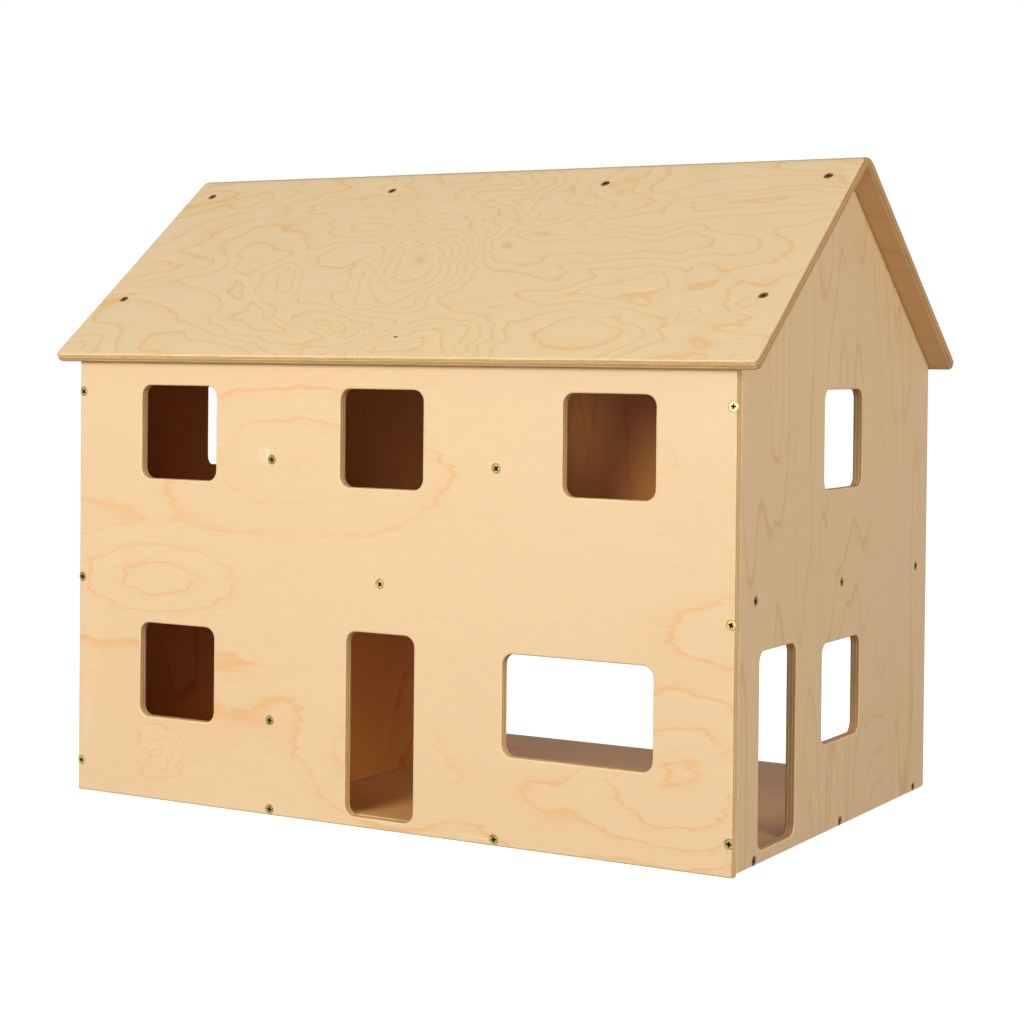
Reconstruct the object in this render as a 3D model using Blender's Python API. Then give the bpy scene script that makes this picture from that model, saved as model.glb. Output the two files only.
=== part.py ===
"""Wooden dollhouse: ten plywood panels held together by countersunk screws.

Metres, +Z up, front of the house towards -Y. The ridge of the roof lies above the Y axis origin.
"""
import math

import bmesh
import bpy
from mathutils import Matrix, Vector

# Overall size
WIDTH = 0.700
DEPTH = 0.460
PLY = 0.0095
GAP = 0.0003
ARRIS = 0.0016

# Roof
SLOPE = math.radians(38.2)
RIDGE_Z = 0.6152
EAVE_OVERHANG = 0.0123
GABLE_OVERHANG = 0.0235
ROOF_ARRIS = 0.003
ROOF_CORNER = 0.0065
RIDGE_ROUND = 0.020
RIDGE_STEPS = 5
PAST_RIDGE = 0.020

# Levels
SIDE_WALL_LIFT = 0.0018
MID_FLOOR_Z = 0.223
LOWER_PARTITION_X = -0.1195
LOWER_PARTITION_SET_BACK = 0.040
UPPER_PARTITION_X = 0.1205

# Openings: centre, centre height, width, height
OPENING_CORNER = 0.010
CORNER_STEPS = 4
FRONT_OPENINGS = (
    (-0.2285, 0.3518, 0.0885, 0.089),
    (0.0015, 0.3518, 0.0885, 0.089),
    (0.2317, 0.3518, 0.0885, 0.089),
    (-0.2290, 0.1240, 0.0880, 0.0895),
    (0.0019, 0.0930, 0.0726, 0.1673),
    (0.2028, 0.1240, 0.1462, 0.0895),
)
SIDE_UPPER_WINDOW = (0.0058, 0.3553, 0.0905, 0.0897)
SIDE_LOWER_WINDOW = (0.0058, 0.1270, 0.0905, 0.0905)
SIDE_DOOR = (-0.1385, 0.0967, 0.0780, 0.1682)

# Screws
HEAD_RADIUS = 0.0042
HEAD_SINK = 0.0003
HEAD_RIM = 0.0004
CONE_DEPTH = 0.0027
SHANK_RADIUS = 0.0015
SCREW_LENGTH = 0.025
TIP_LENGTH = 0.003
TIP_CLEARANCE = 0.0007
SCREW_SIDES = 12
RECESS_ARM = 0.0021
RECESS_HALF_WIDTH = 0.0005
RECESS_DEPTH = 0.0012
RECESS_TAPER = 0.6
HOLE_CLEARANCE = 0.0003
HOLE_ABOVE_FACE = 0.002

FRONT_SCREWS = (
    (-0.346, 0.3890), (-0.346, 0.2083), (-0.346, 0.0288),
    (0.3466, 0.3880), (0.3466, 0.2082), (0.3468, 0.0279),
    (-0.1193, 0.3295), (0.1215, 0.3295), (-0.1195, 0.0880),
    (0.0013, 0.2215), (-0.1190, 0.0053), (0.1226, 0.0055),
)
SIDE_MID_SCREW_Y = (-0.1875, 0.0050, 0.1995)
SIDE_MID_SCREW_Z = 0.2245
SIDE_BOTTOM_SCREW_Y = (-0.1855, 0.0070, 0.1998)
SIDE_BOTTOM_SCREW_Z = 0.0060
WALL_SCREW_X = 0.346
RIDGE_ROW = 0.0375
LOWER_ROW = 0.2172
PARTITION_SCREW_Y = (-0.130, 0.130)

BIRCH = (0.80, 0.60, 0.36)
BIRCH_ROOF = (0.76, 0.61, 0.35)
BIRCH_INSIDE = (0.66, 0.46, 0.26)
ZINC = (0.74, 0.60, 0.28)

# Smaller than any detail of the model
MERGE_DISTANCE = 1e-6
FLAT_ANGLE = 0.001
SHARP_ANGLE = math.radians(30)


def clear_scene():
    for obj in list(bpy.data.objects):
        bpy.data.objects.remove(obj, do_unlink=True)


def material(name, colour, roughness, metallic=0.0):
    made = bpy.data.materials.new(name)
    made.use_nodes = True
    shader = made.node_tree.nodes["Principled BSDF"]
    shader.inputs["Base Color"].default_value = (*colour, 1.0)
    shader.inputs["Roughness"].default_value = roughness
    shader.inputs["Metallic"].default_value = metallic
    return made


def add_object(name, mesh, look, place=None):
    obj = bpy.data.objects.new(name, mesh)
    bpy.context.scene.collection.objects.link(obj)
    if look is not None:
        mesh.materials.clear()
        mesh.materials.append(look)
        mesh.shade_smooth()
        mesh.set_sharp_from_angle(angle=SHARP_ANGLE)
    if place is not None:
        obj.matrix_world = place
    return obj


def rounded_rectangle(centre_x, centre_y, width, height, radius):
    """Corner points, anticlockwise, with an arc of CORNER_STEPS chords at each corner."""
    points = []
    for quarter, (sx, sy) in enumerate(((1, 1), (-1, 1), (-1, -1), (1, -1))):
        cx = centre_x + sx * (width / 2 - radius)
        cy = centre_y + sy * (height / 2 - radius)
        for step in range(CORNER_STEPS + 1):
            angle = (quarter + step / CORNER_STEPS) * math.pi / 2
            points.append((cx + radius * math.cos(angle), cy + radius * math.sin(angle)))
    return points


def sheet(name, outlines, thickness, arris):
    """A board lying on XY, centred on z = 0, with every arris rounded. Later outlines are holes."""
    curve = bpy.data.curves.new(name + "_outline", "CURVE")
    curve.dimensions = "2D"
    curve.fill_mode = "BOTH"
    curve.extrude = thickness / 2 - arris
    curve.bevel_depth = arris
    curve.bevel_resolution = 1
    curve.offset = -arris
    for outline in outlines:
        spline = curve.splines.new("POLY")
        spline.points.add(len(outline) - 1)
        for point, (x, y) in zip(spline.points, outline):
            point.co = (x, y, 0.0, 1.0)
        spline.use_cyclic_u = True
    guide = bpy.data.objects.new(name + "_guide", curve)
    bpy.context.scene.collection.objects.link(guide)
    graph = bpy.context.evaluated_depsgraph_get()
    mesh = bpy.data.meshes.new_from_object(guide.evaluated_get(graph))
    bpy.data.objects.remove(guide, do_unlink=True)
    mesh.name = name
    edit = bmesh.new()
    edit.from_mesh(mesh)
    bmesh.ops.remove_doubles(edit, verts=edit.verts, dist=MERGE_DISTANCE)
    bmesh.ops.recalc_face_normals(edit, faces=edit.faces)
    edit.to_mesh(mesh)
    edit.free()
    return mesh


def frame_matrix(x_axis, y_axis, z_axis, origin):
    turn = Matrix((x_axis, y_axis, z_axis)).transposed().to_4x4()
    return Matrix.Translation(origin) @ turn


def roof_underside(y):
    """Height of the roof's inner surface, less the gap, at a distance y from the ridge."""
    return RIDGE_Z - (PLY + GAP) / math.cos(SLOPE) - abs(y) * math.tan(SLOPE)


def gable_outline(front_y, back_y, bottom_z):
    return [
        (front_y, bottom_z), (back_y, bottom_z), (back_y, roof_underside(back_y)),
        (0.0, roof_underside(0.0)), (front_y, roof_underside(front_y)),
    ]


def front_wall():
    top = roof_underside(-DEPTH / 2)
    outline = [(-WIDTH / 2, 0.0), (WIDTH / 2, 0.0), (WIDTH / 2, top), (-WIDTH / 2, top)]
    holes = [rounded_rectangle(x, z, w, h, OPENING_CORNER) for x, z, w, h in FRONT_OPENINGS]
    mesh = sheet("front_wall", [outline] + holes, PLY, ARRIS)
    # The top edge is planed to the roof's slope: local +Z faces the front.
    for vertex in mesh.vertices:
        if vertex.co.y > top - 2 * ARRIS:
            vertex.co.y += (PLY / 2 - vertex.co.z) * math.tan(SLOPE)
    place = frame_matrix((1, 0, 0), (0, 0, 1), (0, -1, 0), (0, -DEPTH / 2 + PLY / 2, 0))
    return add_object("front_wall", mesh, material("front_wall", BIRCH, 0.42), place)


def side_wall(name, side, openings):
    outline = gable_outline(-DEPTH / 2 + PLY + GAP, DEPTH / 2, SIDE_WALL_LIFT)
    holes = [rounded_rectangle(y, z, w, h, OPENING_CORNER) for y, z, w, h in openings]
    mesh = sheet(name, [outline] + holes, PLY, ARRIS)
    place = frame_matrix((0, 1, 0), (0, 0, 1), (1, 0, 0), (side * (WIDTH - PLY) / 2, 0, 0))
    return add_object(name, mesh, material(name, BIRCH, 0.42), place)


def floor(name, centre_z):
    half_width = WIDTH / 2 - PLY - GAP
    front = -DEPTH / 2 + PLY + GAP
    back = DEPTH / 2
    outline = [(-half_width, front), (half_width, front), (half_width, back), (-half_width, back)]
    mesh = sheet(name, [outline], PLY, ARRIS)
    place = Matrix.Translation((0, 0, centre_z))
    return add_object(name, mesh, material(name, BIRCH_INSIDE, 0.45), place)


def partition(name, x, bottom_z, top_z=None):
    """An inner wall. With no top_z it runs up to the roof, otherwise it stops short of the back."""
    front = -DEPTH / 2 + PLY + GAP
    if top_z is None:
        outline = gable_outline(front, DEPTH / 2, bottom_z)
    else:
        back = DEPTH / 2 - LOWER_PARTITION_SET_BACK
        outline = [(front, bottom_z), (back, bottom_z), (back, top_z), (front, top_z)]
    mesh = sheet(name, [outline], PLY, ARRIS)
    place = frame_matrix((0, 1, 0), (0, 0, 1), (1, 0, 0), (x, 0, 0))
    return add_object(name, mesh, material(name, BIRCH_INSIDE, 0.45), place)


def slice_through(edit, point, normal, remove=False):
    """Cuts the mesh along a plane. With remove, what lies beyond it goes and the cut is closed."""
    everything = edit.verts[:] + edit.edges[:] + edit.faces[:]
    made = bmesh.ops.bisect_plane(
        edit, geom=everything, dist=MERGE_DISTANCE, plane_co=point, plane_no=normal,
        clear_outer=remove,
    )
    rim = [item for item in made["geom_cut"] if isinstance(item, bmesh.types.BMEdge)]
    if remove and rim:
        bmesh.ops.contextual_create(edit, geom=rim)
        bmesh.ops.recalc_face_normals(edit, faces=edit.faces)


def round_ridge(edit, side):
    """Lowers the top of a mitred panel onto a round of RIDGE_ROUND, thinning it evenly."""
    reach = RIDGE_ROUND * math.sin(SLOPE)
    centre_z = RIDGE_Z - RIDGE_ROUND / math.cos(SLOPE)
    for step in range(1, RIDGE_STEPS + 1):
        y = side * RIDGE_ROUND * math.sin(SLOPE * step / RIDGE_STEPS)
        slice_through(edit, Vector((0, y, 0)), Vector((0, 1, 0)))
    for vertex in edit.verts:
        y = abs(vertex.co.y)
        if y < reach:
            sharp = RIDGE_Z - y * math.tan(SLOPE)
            drop = sharp - centre_z - math.sqrt(RIDGE_ROUND ** 2 - y ** 2)
            depth = (sharp - vertex.co.z) * math.cos(SLOPE)
            vertex.co.z -= drop * (1 - depth / PLY)


def roof_frame(side):
    """Local X along the ridge, local Y down the slope, local Z out of the roof; origin at the apex."""
    down = Vector((0, side * math.cos(SLOPE), -math.sin(SLOPE)))
    out = Vector((0, side * math.sin(SLOPE), math.cos(SLOPE)))
    return frame_matrix(down.cross(out), down, out, (0, 0, RIDGE_Z))


def roof_panel(name, side):
    """side is -1 for the front slope, +1 for the back slope. The two panels are mitred at the ridge."""
    length = (DEPTH / 2 + EAVE_OVERHANG) / math.cos(SLOPE)
    half_width = WIDTH / 2 + GABLE_OVERHANG
    middle = (length - PAST_RIDGE) / 2
    outline = rounded_rectangle(0, middle, 2 * half_width, length + PAST_RIDGE, ROOF_CORNER)
    mesh = sheet(name, [outline], PLY, ROOF_ARRIS)
    place = roof_frame(side)
    edit = bmesh.new()
    edit.from_mesh(mesh)
    bmesh.ops.translate(edit, verts=edit.verts, vec=(0, 0, -PLY / 2))
    edit.transform(place)
    mitre = Vector((0, side * GAP / 2, RIDGE_Z))
    slice_through(edit, mitre, Vector((0, -side, 0)), remove=True)
    round_ridge(edit, side)
    edit.transform(place.inverted())
    edit.to_mesh(mesh)
    edit.free()
    return add_object(name, mesh, material(name, BIRCH_ROOF, 0.42), place)


def turned(profile, sides):
    """A closed round solid about +Z from (radius, z) pairs that start and end on the axis."""
    edit = bmesh.new()
    rings = []
    for radius, z in profile:
        if radius == 0.0:
            rings.append([edit.verts.new((0, 0, z))])
            continue
        ring = []
        for step in range(sides):
            angle = 2 * math.pi * step / sides
            ring.append(edit.verts.new((radius * math.cos(angle), radius * math.sin(angle), z)))
        rings.append(ring)
    for low, high in zip(rings, rings[1:]):
        for step in range(sides):
            after = (step + 1) % sides
            corners = [low[step % len(low)], low[after % len(low)]]
            corners += [high[after % len(high)], high[step % len(high)]]
            edit.faces.new(list(dict.fromkeys(corners)))
    bmesh.ops.recalc_face_normals(edit, faces=edit.faces)
    return edit


def screw_mesh():
    """Countersunk screw, head up, its head's top HEAD_SINK below z = 0."""
    top = -HEAD_SINK
    cone_top = top - HEAD_RIM
    cone_foot = cone_top - CONE_DEPTH
    tip = top - SCREW_LENGTH
    profile = [
        (0.0, tip), (SHANK_RADIUS, tip + TIP_LENGTH), (SHANK_RADIUS, cone_foot),
        (HEAD_RADIUS, cone_top), (HEAD_RADIUS, top),
    ]
    edit = turned(profile + [(0.0, top)], SCREW_SIDES)
    bmesh.ops.dissolve_limit(edit, angle_limit=FLAT_ANGLE, verts=edit.verts, edges=edit.edges)
    mesh = bpy.data.meshes.new("screw")
    edit.to_mesh(mesh)
    edit.free()
    body = add_object("screw_blank", mesh, None)
    cutter = recess_cutter(top)
    cut = body.modifiers.new("recess", "BOOLEAN")
    cut.operation = "DIFFERENCE"
    cut.solver = "EXACT"
    cut.object = cutter
    graph = bpy.context.evaluated_depsgraph_get()
    made = bpy.data.meshes.new_from_object(body.evaluated_get(graph))
    made.name = "screw"
    bpy.data.objects.remove(body, do_unlink=True)
    bpy.data.objects.remove(cutter, do_unlink=True)
    return made


def recess_cutter(top):
    """The cross-shaped driving recess."""
    a, w = RECESS_ARM, RECESS_HALF_WIDTH
    cross = [(a, -w), (a, w), (w, w), (w, a), (-w, a), (-w, w), (-a, w), (-a, -w)]
    cross += [(-w, -w), (-w, -a), (w, -a), (w, -w)]
    edit = bmesh.new()
    k = RECESS_TAPER
    low = [edit.verts.new((x * k, y * k, top - RECESS_DEPTH)) for x, y in cross]
    high = [edit.verts.new((x, y, top + RECESS_DEPTH)) for x, y in cross]
    for step in range(len(cross)):
        after = (step + 1) % len(cross)
        edit.faces.new((low[step], low[after], high[after], high[step]))
    edit.faces.new(high)
    edit.faces.new(list(reversed(low)))
    bmesh.ops.recalc_face_normals(edit, faces=edit.faces)
    mesh = bpy.data.meshes.new("recess")
    edit.to_mesh(mesh)
    edit.free()
    return add_object("recess", mesh, None)


def screw_hole():
    """The solid a screw's countersink, clearance hole and pilot take out of the boards."""
    c = HOLE_CLEARANCE
    foot = -HEAD_SINK - HEAD_RIM - CONE_DEPTH - c
    tip = -HEAD_SINK - SCREW_LENGTH - TIP_CLEARANCE
    profile = [
        (0.0, tip), (SHANK_RADIUS + c, tip + TIP_LENGTH),
        (SHANK_RADIUS + c, foot), (HEAD_RADIUS + c, -HEAD_SINK - HEAD_RIM - c),
        (HEAD_RADIUS + c, HOLE_ABOVE_FACE), (0.0, HOLE_ABOVE_FACE),
    ]
    return turned(profile, SCREW_SIDES)


def screw_place(point, inward):
    """A frame whose +Z is the screw's head end."""
    out = -Vector(inward).normalized()
    return Matrix.Translation(point) @ out.to_track_quat("Z", "Y").to_matrix().to_4x4()


def screw_list():
    """(name, frame, boards it passes through) for every screw."""
    found = []
    half_depth, half_width = DEPTH / 2, WIDTH / 2
    receivers = ["left_wall"] * 3 + ["right_wall"] * 3
    receivers += ["upper_left_partition", "upper_right_partition", "lower_partition"]
    receivers += ["mid_floor", "ground_floor", "ground_floor"]
    for number, ((x, z), board) in enumerate(zip(FRONT_SCREWS, receivers), 1):
        place = screw_place((x, -half_depth, z), (0, 1, 0))
        found.append((f"front_screw_{number:02d}", place, ("front_wall", board)))
    for side, name in ((-1, "left"), (1, "right")):
        number = 0
        for z, row, board in (
            (SIDE_MID_SCREW_Z, SIDE_MID_SCREW_Y, "mid_floor"),
            (SIDE_BOTTOM_SCREW_Z, SIDE_BOTTOM_SCREW_Y, "ground_floor"),
        ):
            for y in row:
                number += 1
                place = screw_place((side * half_width, y, z), (-side, 0, 0))
                found.append((f"{name}_screw_{number}", place, (f"{name}_wall", board)))
    for side, name in ((-1, "front"), (1, "back")):
        slope = roof_frame(side)
        inward = -slope.col[2].to_3d()
        spots = [(-WALL_SCREW_X, RIDGE_ROW, "left_wall"), (WALL_SCREW_X, RIDGE_ROW, "right_wall")]
        spots += [(-UPPER_PARTITION_X, RIDGE_ROW, "upper_left_partition")]
        spots += [(UPPER_PARTITION_X, RIDGE_ROW, "upper_right_partition")]
        spots += [(-WALL_SCREW_X, LOWER_ROW, "left_wall"), (WALL_SCREW_X, LOWER_ROW, "right_wall")]
        for number, (x, down, board) in enumerate(spots, 1):
            point = slope @ Vector((0, down, 0)) + Vector((x, 0, 0))
            place = screw_place(point, inward)
            found.append((f"{name}_roof_screw_{number}", place, (f"{name}_roof_panel", board)))
    mid_under = MID_FLOOR_Z - PLY / 2
    upward = (
        ("ground", LOWER_PARTITION_X, 0.0, "ground_floor", "lower_partition"),
        ("left_up", -UPPER_PARTITION_X, mid_under, "mid_floor", "upper_left_partition"),
        ("right_up", UPPER_PARTITION_X, mid_under, "mid_floor", "upper_right_partition"),
    )
    for name, x, z, board, receiver in upward:
        for number, y in enumerate(PARTITION_SCREW_Y, 1):
            place = screw_place((x, y, z), (0, 0, 1))
            found.append((f"{name}_screw_{number}", place, (board, receiver)))
    return found


def drill(boards, screws):
    """Each board gets one cutter holding every screw hole it needs."""
    for name, board in boards.items():
        places = [place for _, place, through in screws if name in through]
        edit = bmesh.new()
        for place in places:
            hole = screw_hole()
            hole.transform(place)
            piece = bpy.data.meshes.new("hole")
            hole.to_mesh(piece)
            hole.free()
            edit.from_mesh(piece)
            bpy.data.meshes.remove(piece)
        mesh = bpy.data.meshes.new(name + "_holes")
        edit.to_mesh(mesh)
        edit.free()
        cutter = add_object(name + "_holes", mesh, None)
        cutter.hide_render = True
        cutter.display_type = "WIRE"
        cut = board.modifiers.new("screw_holes", "BOOLEAN")
        cut.operation = "DIFFERENCE"
        cut.solver = "EXACT"
        cut.object = cutter


def build():
    clear_scene()
    left_openings = (SIDE_UPPER_WINDOW,)
    right_openings = (SIDE_UPPER_WINDOW, SIDE_LOWER_WINDOW, SIDE_DOOR)
    mid_bottom = MID_FLOOR_Z - PLY / 2 - GAP
    mid_top = MID_FLOOR_Z + PLY / 2 + GAP
    made = [
        front_wall(),
        side_wall("left_wall", -1, left_openings),
        side_wall("right_wall", 1, right_openings),
        floor("ground_floor", PLY / 2),
        floor("mid_floor", MID_FLOOR_Z),
        partition("lower_partition", LOWER_PARTITION_X, PLY + GAP, mid_bottom),
        partition("upper_left_partition", -UPPER_PARTITION_X, mid_top),
        partition("upper_right_partition", UPPER_PARTITION_X, mid_top),
        roof_panel("front_roof_panel", -1),
        roof_panel("back_roof_panel", 1),
    ]
    boards = {obj.name: obj for obj in made}
    screws = screw_list()
    drill(boards, screws)
    zinc = material("zinc", ZINC, 0.30, 1.0)
    shape = screw_mesh()
    shape.materials.clear()
    shape.materials.append(zinc)
    shape.shade_smooth()
    shape.set_sharp_from_angle(angle=SHARP_ANGLE)
    for name, place, _ in screws:
        screw = bpy.data.objects.new(name, shape)
        bpy.context.scene.collection.objects.link(screw)
        screw.matrix_world = place


build()
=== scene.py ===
"""Looks for the plywood dollhouse: birch panels with ply edges, zinc screws, a pale studio."""
import math
import random

import bmesh
import bpy
from mathutils import Matrix, Vector


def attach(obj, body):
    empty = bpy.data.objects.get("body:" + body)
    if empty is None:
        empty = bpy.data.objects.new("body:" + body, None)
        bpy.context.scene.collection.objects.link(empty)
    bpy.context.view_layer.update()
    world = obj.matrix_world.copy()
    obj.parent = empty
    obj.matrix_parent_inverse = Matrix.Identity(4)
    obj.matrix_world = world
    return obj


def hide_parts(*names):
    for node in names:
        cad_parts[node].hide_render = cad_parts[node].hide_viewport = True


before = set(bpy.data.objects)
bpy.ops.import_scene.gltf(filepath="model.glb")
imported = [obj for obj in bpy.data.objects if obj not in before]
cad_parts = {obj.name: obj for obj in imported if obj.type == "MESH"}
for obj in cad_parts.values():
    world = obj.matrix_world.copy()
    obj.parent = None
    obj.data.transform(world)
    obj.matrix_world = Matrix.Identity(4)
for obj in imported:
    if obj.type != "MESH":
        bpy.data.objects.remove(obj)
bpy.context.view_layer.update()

# Dimensions, as in the CAD model
WIDTH = 0.700
DEPTH = 0.460
PLY = 0.0095
GAP = 0.0003
SLOPE = math.radians(38.2)
RIDGE_Z = 0.6152
EAVE_OVERHANG = 0.0123
GABLE_OVERHANG = 0.0235
ROOF_ARRIS = 0.0030
ROOF_CORNER = 0.0065
RIDGE_ROUND = 0.020
PAST_RIDGE = 0.020
SIDE_WALL_LIFT = 0.0018
MID_FLOOR_Z = 0.223
LOWER_PARTITION_X = -0.1195
LOWER_PARTITION_SET_BACK = 0.040
UPPER_PARTITION_X = 0.1205

# Openings, as in the CAD model: centre along the wall, centre height, width, height
OPENING_CORNER = 0.010
FRONT_OPENINGS = (
    (-0.2285, 0.3518, 0.0885, 0.089),
    (0.0015, 0.3518, 0.0885, 0.089),
    (0.2317, 0.3518, 0.0885, 0.089),
    (-0.2290, 0.1240, 0.0880, 0.0895),
    (0.0019, 0.0930, 0.0726, 0.1673),
    (0.2028, 0.1240, 0.1462, 0.0895),
)
SIDE_UPPER_WINDOW = (0.0058, 0.3553, 0.0905, 0.0897)
SIDE_LOWER_WINDOW = (0.0058, 0.1270, 0.0905, 0.0905)
SIDE_DOOR = (-0.1385, 0.0967, 0.0780, 0.1682)

# Screws, as in the CAD model
HEAD_RADIUS = 0.0042
HEAD_SINK = 0.0003
HEAD_RIM = 0.0004
CONE_DEPTH = 0.0027
FRONT_SCREWS = (
    (-0.346, 0.3890), (-0.346, 0.2083), (-0.346, 0.0288),
    (0.3466, 0.3880), (0.3466, 0.2082), (0.3468, 0.0279),
    (-0.1193, 0.3295), (0.1215, 0.3295), (-0.1195, 0.0880),
    (0.0013, 0.2215), (-0.1190, 0.0053), (0.1226, 0.0055),
)
SIDE_MID_SCREW_Y = (-0.1875, 0.0050, 0.1995)
SIDE_MID_SCREW_Z = 0.2245
SIDE_BOTTOM_SCREW_Y = (-0.1855, 0.0070, 0.1998)
SIDE_BOTTOM_SCREW_Z = 0.0060
WALL_SCREW_X = 0.346
RIDGE_ROW = 0.0375
LOWER_ROW = 0.2172
PARTITION_SCREW_Y = (-0.130, 0.130)

# Finer or a little larger than in the CAD model
ARRIS = 0.0017
ARRIS_STEPS = 3
CORNER_STEPS = 8
RIDGE_STEPS = 12
SCREW_SIDES = 32
HOLE_CLEARANCE = 0.00035

# Countersunk holes: the lip is a slight widening at the face, above which the cutter flares
COUNTERSINK_DEPTH = 0.0042
COUNTERSINK_LIP = 0.00015
CUTTER_FLARE = 0.0009
CUTTER_ABOVE_FACE = 0.0012

# Screw shape. The shank's points are (radius, depth below the head's top)
SHANK = ((0.0013, 0.024), (0.0016, 0.006))
NECK_RADIUS = 0.0017
SCREW_LENGTH = 0.0247
HEAD_ARRIS = 0.00012
CROWN_RADIUS = 0.0032
CROWN_HEIGHT = 0.00004

# Each screw stopped at its own turn
SCREW_TURN_SEED = 5

# Cross recess. Its levels are (share of its full plan, height over the head's top)
RECESS_ARM = 0.0025
RECESS_HALF_WIDTH = 0.00062
RECESS_ROOT = RECESS_HALF_WIDTH * 1.5
RECESS_LEVELS = ((0.30, -0.0022), (0.62, -0.0012), (1.0, 0.0), (1.12, 0.0004))

# Mesh work
MERGE_DISTANCE = 1e-6

# A panel's material slots, and how squarely a polygon has to look along or against the panel's
# Z to take the outer or inner veneer
OUTER, RIM, INNER = 0, 1, 2
FLAT_ENOUGH = 0.97

PANEL_SHARP_ANGLE = math.radians(40)
SCREW_SHARP_ANGLE = math.radians(30)

# Studio: reach and depth of the contact shadow painted into the floor's glow around the house,
# brightness of the surroundings in reflections and as light, the floor's size and greys
PAINTED_CONTACT_REACH = 0.05
PAINTED_CONTACT_SHADE = 0.90
SHEEN = 0.6
AMBIENT = 0.10
FLOOR_SIZE = 40.0
FLOOR_DROP = 0.0002
FLOOR_SEEN_GREY = 0.45
FLOOR_BOUNCE_GREY = 0.30

# Name, place, aim, width and power of each light
LIGHTS = (
    ("key", (-0.6, -3.2, 1.35), (0, 0, 0.3), 1.8, 87.5),
    ("top", (-0.3, -1.2, 3.2), (0, 0, 0.4), 1.6, 7.0),
    ("fill", (3.2, -1.0, 1.4), (0, 0, 0.3), 1.8, 56.0),
    ("low", (2.6, 0.9, 0.25), (0.3, 0.1, 0.4), 1.0, 12.0),
    ("back", (0.4, 3.0, 2.2), (0, 0, 0.2), 1.6, 16.0),
    ("front", (1.2, -3.4, 1.0), (0, 0, 0.3), 1.2, 6.0),
)

# Name of the mesh attribute that holds each board's own coordinates
BOARD_COORDS = "board_coords"

# Camera
CAMERA_AT = (1.10312, -1.89536, 0.42737)
CAMERA_YAW = 0.525715
CAMERA_PITCH = 0.017407
CAMERA_ROLL = 0.009792
SENSOR_WIDTH = 36.0
LENS = 78.164
SHIFT_Y = -0.1143
CLIP_END = 100.0


# ---------------------------------------------------------------- node helpers
def new_tree(name):
    """A new material, its node tree and its Principled shader."""
    made = bpy.data.materials.new(name)
    made.use_nodes = True
    tree = made.node_tree
    shader = tree.nodes["Principled BSDF"]
    return made, tree, shader


def feed(tree, socket, value):
    """Links the value in if it is another node's output, and else sets it."""
    if isinstance(value, bpy.types.NodeSocket):
        tree.links.new(value, socket)
    elif value is not None:
        socket.default_value = value


def maths(tree, operation, a, b=None, c=None, clamp=False):
    node = tree.nodes.new("ShaderNodeMath")
    node.operation = operation
    node.use_clamp = clamp
    for socket, value in zip(node.inputs, (a, b, c)):
        feed(tree, socket, value)
    return node.outputs[0]


def board_coords(tree):
    """Where the board lay before it was set in its place, as kept by keep_coords."""
    coords = tree.nodes.new("ShaderNodeAttribute")
    coords.attribute_name = BOARD_COORDS
    return coords.outputs["Vector"]


def place_field(tree, scale, location=(0, 0, 0), rotation=(0, 0, 0)):
    """The board's own coordinates in metres, scaled, turned and moved."""
    turn = tree.nodes.new("ShaderNodeMapping")
    turn.inputs["Rotation"].default_value = rotation
    tree.links.new(board_coords(tree), turn.inputs["Vector"])
    size = tree.nodes.new("ShaderNodeMapping")
    size.inputs["Scale"].default_value = scale
    size.inputs["Location"].default_value = location
    tree.links.new(turn.outputs[0], size.inputs["Vector"])
    return size.outputs[0]


def noise(tree, vector, scale, detail=2.0, roughness=0.5, distortion=0.0):
    node = tree.nodes.new("ShaderNodeTexNoise")
    tree.links.new(vector, node.inputs["Vector"])
    node.inputs["Scale"].default_value = scale
    node.inputs["Detail"].default_value = detail
    node.inputs["Roughness"].default_value = roughness
    node.inputs["Distortion"].default_value = distortion
    return node.outputs["Fac"]


def ramp(tree, factor, stops, interpolation="LINEAR"):
    """A colour ramp through (position, colour or grey) stops."""
    node = tree.nodes.new("ShaderNodeValToRGB")
    node.color_ramp.interpolation = interpolation
    elements = node.color_ramp.elements
    while len(elements) < len(stops):
        elements.new(0.5)
    for element, (position, colour) in zip(elements, stops):
        element.position = position
        if isinstance(colour, (int, float)):
            colour = (colour, colour, colour)
        element.color = (*colour, 1.0)
    tree.links.new(factor, node.inputs["Fac"])
    return node.outputs["Color"]


def mix(tree, factor, a, b, blend="MIX"):
    node = tree.nodes.new("ShaderNodeMix")
    node.data_type = "RGBA"
    node.blend_type = blend
    feed(tree, node.inputs[0], factor)
    for socket, value in ((node.inputs[6], a), (node.inputs[7], b)):
        if isinstance(value, tuple) and len(value) == 3:
            value = (*value, 1.0)
        feed(tree, socket, value)
    return node.outputs[2]


def bump(tree, shader, height, strength):
    """Fine relief on the whole surface."""
    node = tree.nodes.new("ShaderNodeBump")
    node.inputs["Strength"].default_value = strength
    node.inputs["Distance"].default_value = RELIEF
    tree.links.new(height, node.inputs["Height"])
    tree.links.new(node.outputs[0], shader.inputs["Normal"])


# ---------------------------------------------------------------- materials
# Fineness of each pattern, in features per metre: along the grain, across it, into the board
SPIKE_GRAIN = (14.0, 95.0, 1.0)
SWAY_GRAIN = (26.0, 34.0, 1.0)
FIBRE_GRAIN = (55.0, 640.0, 60.0)
FLECK_GRAIN = (140.0, 2200.0, 60.0)

# The same for the edges, along the board's own X, Y and Z
END_PORES = (700.0, 700.0, 900.0)
END_STREAKS = (30.0, 30.0, 900.0)

# Fineness, against the growth field's, of the wobble on its lines, of their fading and of the tone
WOBBLE_FINENESS = 9.0
FADE_FINENESS = 1.7
TONE_FINENESS = 0.8

# Features per metre of the zinc's bloom and scratches and of the painted shade inside the recess
BLOOM_GRAIN = 420.0
SCRATCH_GRAIN = 2600.0
RECESS_GRAIN = 900.0

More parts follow.
